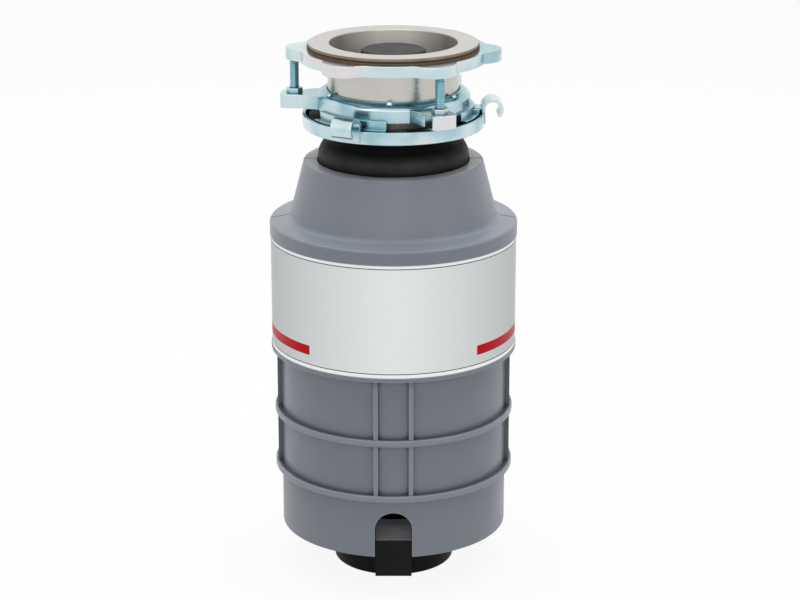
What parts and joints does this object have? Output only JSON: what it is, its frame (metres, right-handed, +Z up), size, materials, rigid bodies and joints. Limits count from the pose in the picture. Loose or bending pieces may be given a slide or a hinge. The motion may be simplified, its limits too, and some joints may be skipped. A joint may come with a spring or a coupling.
{
  "type": "garbage disposal",
  "caption": "Kitchen garbage disposal: round grey casing with a silver label band, motor-driven grinding chamber, rear outlet, and a screw-clamped sink mount with twist-lock ring.",
  "frame": {"origin": "centre of the foot's underside, on the motor's axis", "axes": "+Z up along the motor's axis to the sink flange; -Y the front, with the label and the wiring notch; +X to the viewer's right"},
  "size_m": [0.1668, 0.1794, 0.3648],
  "materials": {
    "stainless": "polished and brushed stainless steel",
    "zinc_plate": "bright zinc-plated pressed steel",
    "fibre": "pressed brown fibre board",
    "black_rubber": "matt moulded rubber",
    "stopper_plastic": "satin dark plastic",
    "grey_casing": "fine textured grey moulding",
    "label_foil": "brushed silver foil with red stripes",
    "black_plastic": "satin black moulding",
    "red_plastic": "gloss red moulding",
    "chamber_plastic": "glass-filled dark moulding",
    "motor_steel": "machined and pressed steel",
    "cast_frame": "die cast",
    "magnet": "sintered ferrite",
    "copper": "varnished copper",
    "bronze": "sintered bronze",
    "carbon": "pressed carbon"
  },
  "bodies": {
    "disposer": {"sink_flange": "stainless", "shredder_ring": "stainless", "mounting_ring": "zinc_plate", "ear_nuts": "zinc_plate", "snap_ring": "zinc_plate", "through_bolts": "zinc_plate", "chamber_screws": "zinc_plate", "casing_screws": "zinc_plate", "wiring_cover_screw": "zinc_plate", "mounting_cushion": "black_rubber", "splash_guard": "black_rubber", "shaft_seal": "black_rubber", "chamber_gasket": "black_rubber", "front_casing": "grey_casing", "rear_casing": "grey_casing", "label_band": "label_foil", "bottom_cover": "black_plastic", "wiring_cover": "black_plastic", "overload_protector": "black_plastic", "rectifier_block": "black_plastic", "brush_holders": "black_plastic", "hopper": "chamber_plastic", "lower_housing": "chamber_plastic", "motor_can": "motor_steel", "brush_springs": "motor_steel", "lower_end_frame": "cast_frame", "field_magnets": "magnet", "upper_bearing": "bronze", "lower_bearing": "bronze", "brushes": "carbon"},
    "rotor": {"motor_shaft": "motor_steel", "armature_core": "motor_steel", "armature_windings": "copper", "commutator": "copper", "slinger": "black_rubber", "turntable": "stainless", "turntable_nut": "stainless", "lug_pins": "stainless"},
    "lug_a": {"swivel_lug_a": "stainless"},
    "lug_b": {"swivel_lug_b": "stainless"},
    "lock_ring": {"lock_ring": "zinc_plate"},
    "reset": {"reset_button": "red_plastic"},
    "stopper": {"stopper": "stopper_plastic", "stopper_seal": "black_rubber"},
    "clamp": {"backup_ring": "zinc_plate", "fibre_gasket": "fibre", "clamp_screws": "zinc_plate"}
  },
  "joints": [
    {"name": "rotor_spin", "type": "hinge", "parent": "disposer", "child": "rotor", "pos_m": [0, 0, 0.2], "axis": [0, 0, 1], "continuous": true},
    {"name": "lug_a_swivel", "type": "hinge", "parent": "rotor", "child": "lug_a", "pos_m": [0.04, 0, 0.2141], "axis": [0, 0, 1], "continuous": true},
    {"name": "lug_b_swivel", "type": "hinge", "parent": "rotor", "child": "lug_b", "pos_m": [-0.04, 0, 0.2141], "axis": [0, 0, 1], "continuous": true},
    {"name": "lock_ring_turn", "type": "hinge", "parent": "disposer", "child": "lock_ring", "pos_m": [0, 0, 0.3129], "axis": [0, 0, 1], "range_deg": [0, 30]},
    {"name": "reset_press", "type": "slide", "parent": "disposer", "child": "reset", "axis": [0, 0, 1], "range_m": [0, 0.0025], "stiffness_N_per_m": 800, "springref_m": -0.001},
    {"name": "stopper_lift", "type": "slide", "parent": "disposer", "child": "stopper", "axis": [0, 0, 1], "range_m": [0, 0.12]},
    {"name": "clamp_travel", "type": "slide", "parent": "disposer", "child": "clamp", "axis": [0, 0, -1], "range_m": [0, 0.01]}
  ]
}
